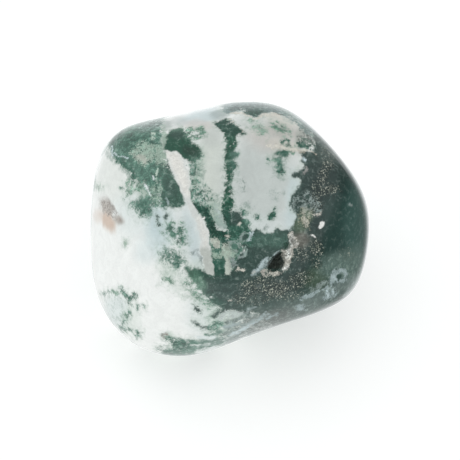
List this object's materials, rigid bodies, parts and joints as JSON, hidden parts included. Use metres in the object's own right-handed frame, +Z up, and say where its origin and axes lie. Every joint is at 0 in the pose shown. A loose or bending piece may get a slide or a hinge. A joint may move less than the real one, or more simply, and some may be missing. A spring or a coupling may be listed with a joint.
{
  "type": "tree agate tumbled stone",
  "caption": "Rounded, polished white stone with green moss-like markings and a small rough pocket; a loose decorative stone that lies on its flattest side.",
  "frame": {"origin": "on the surface that the stone rests on, under the middle of its box", "axes": "+X along the longest way, towards the dark green end; +Z up from the flat side that it rests on; -Y towards the front with the small pocket"},
  "size_m": [0.038, 0.0332, 0.0295],
  "materials": {
    "polished_agate": "polished, white chalcedony with dark green moss and dendrites, grey quartz and tan specks"
  },
  "bodies": {
    "root": {"stone": "polished_agate"}
  },
  "joints": []
}
